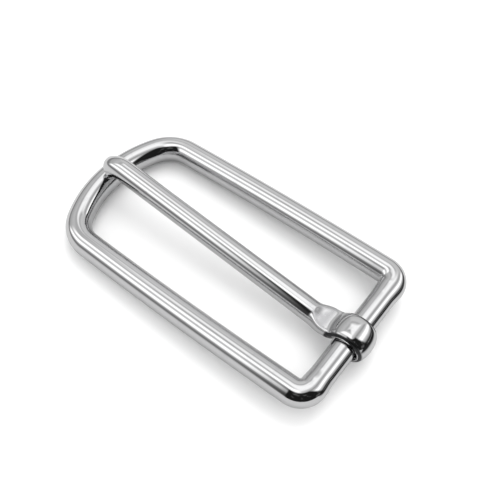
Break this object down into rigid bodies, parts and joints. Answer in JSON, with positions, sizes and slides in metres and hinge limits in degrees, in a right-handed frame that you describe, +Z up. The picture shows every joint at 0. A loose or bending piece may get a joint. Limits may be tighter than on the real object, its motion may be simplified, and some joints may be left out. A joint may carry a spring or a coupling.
{
  "type": "strapping buckle",
  "caption": "Polished steel strapping buckle: a closed rod frame with a bowed end, and a round tongue hinged on its bar by a rolled eye.",
  "frame": {"origin": "Middle of the axis of the straight bar that carries the tongue and the strap.", "axes": "+X along the bar, +Y from the bar to the bowed end, +Z up, the side that the tongue lies on."},
  "size_m": [0.0352, 0.0654, 0.0108],
  "materials": {
    "frame_steel": "polished to a mirror",
    "tongue_steel": "polished to a mirror"
  },
  "bodies": {
    "frame": {"frame": "frame_steel"},
    "tongue": {"tongue": "tongue_steel"}
  },
  "joints": [
    {"name": "tongue_hinge", "type": "hinge", "parent": "frame", "child": "tongue", "pos_m": [0, 0, 0], "axis": [1, 0, 0], "range_deg": [0, 345]}
  ]
}
